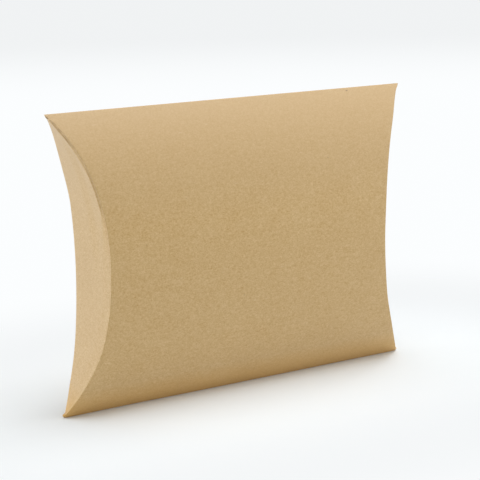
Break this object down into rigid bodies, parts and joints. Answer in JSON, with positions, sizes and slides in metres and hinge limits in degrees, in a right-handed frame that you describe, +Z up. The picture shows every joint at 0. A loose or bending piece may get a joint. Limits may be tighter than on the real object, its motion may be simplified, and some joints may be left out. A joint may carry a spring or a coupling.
{
  "type": "pillow box",
  "caption": "Closed pillow box of plain brown kraft board: two arched panels meet at straight folds, and a curved crescent flap tucks in over each concave end.",
  "frame": {"origin": "middle of the lower fold, on the surface that the box stands on; the bottom centre of its bounding box", "axes": "+X from the left end to the right end, +Y from the front panel to the back panel, +Z up from the lower fold to the upper fold"},
  "size_m": [0.2, 0.04, 0.15],
  "materials": {
    "kraft_panel": "matte",
    "kraft_fold": "matte",
    "kraft_flap": "matte",
    "kraft_inner_flap": "matte",
    "kraft_tab": "matte",
    "glue": "satin"
  },
  "bodies": {
    "shell": {"front_panel": "kraft_panel", "back_panel": "kraft_panel", "bottom_fold": "kraft_fold", "top_fold": "kraft_fold", "glue_tab": "kraft_tab", "glue_line": "glue"},
    "left_outer_flap": {"left_outer_flap": "kraft_flap"},
    "left_inner_flap": {"left_inner_flap": "kraft_inner_flap"},
    "right_outer_flap": {"right_outer_flap": "kraft_flap"},
    "right_inner_flap": {"right_inner_flap": "kraft_inner_flap"}
  },
  "joints": [
    {"name": "left_outer_flap_hinge", "type": "hinge", "parent": "shell", "child": "left_outer_flap", "pos_m": [-0.08045, 0.02, 0.075], "axis": [0, 0, -1], "range_deg": [0, 100]},
    {"name": "left_inner_flap_hinge", "type": "hinge", "parent": "shell", "child": "left_inner_flap", "pos_m": [-0.07975, -0.02, 0.075], "axis": [0, 0, 1], "range_deg": [0, 85]},
    {"name": "right_outer_flap_hinge", "type": "hinge", "parent": "shell", "child": "right_outer_flap", "pos_m": [0.08045, 0.02, 0.075], "axis": [0, 0, 1], "range_deg": [0, 100]},
    {"name": "right_inner_flap_hinge", "type": "hinge", "parent": "shell", "child": "right_inner_flap", "pos_m": [0.07975, -0.02, 0.075], "axis": [0, 0, -1], "range_deg": [0, 85]}
  ],
  "couplings": [
    {"joint": "left_inner_flap_hinge", "follows": "left_outer_flap_hinge", "ratio": 0.85},
    {"joint": "right_inner_flap_hinge", "follows": "right_outer_flap_hinge", "ratio": 0.85}
  ]
}
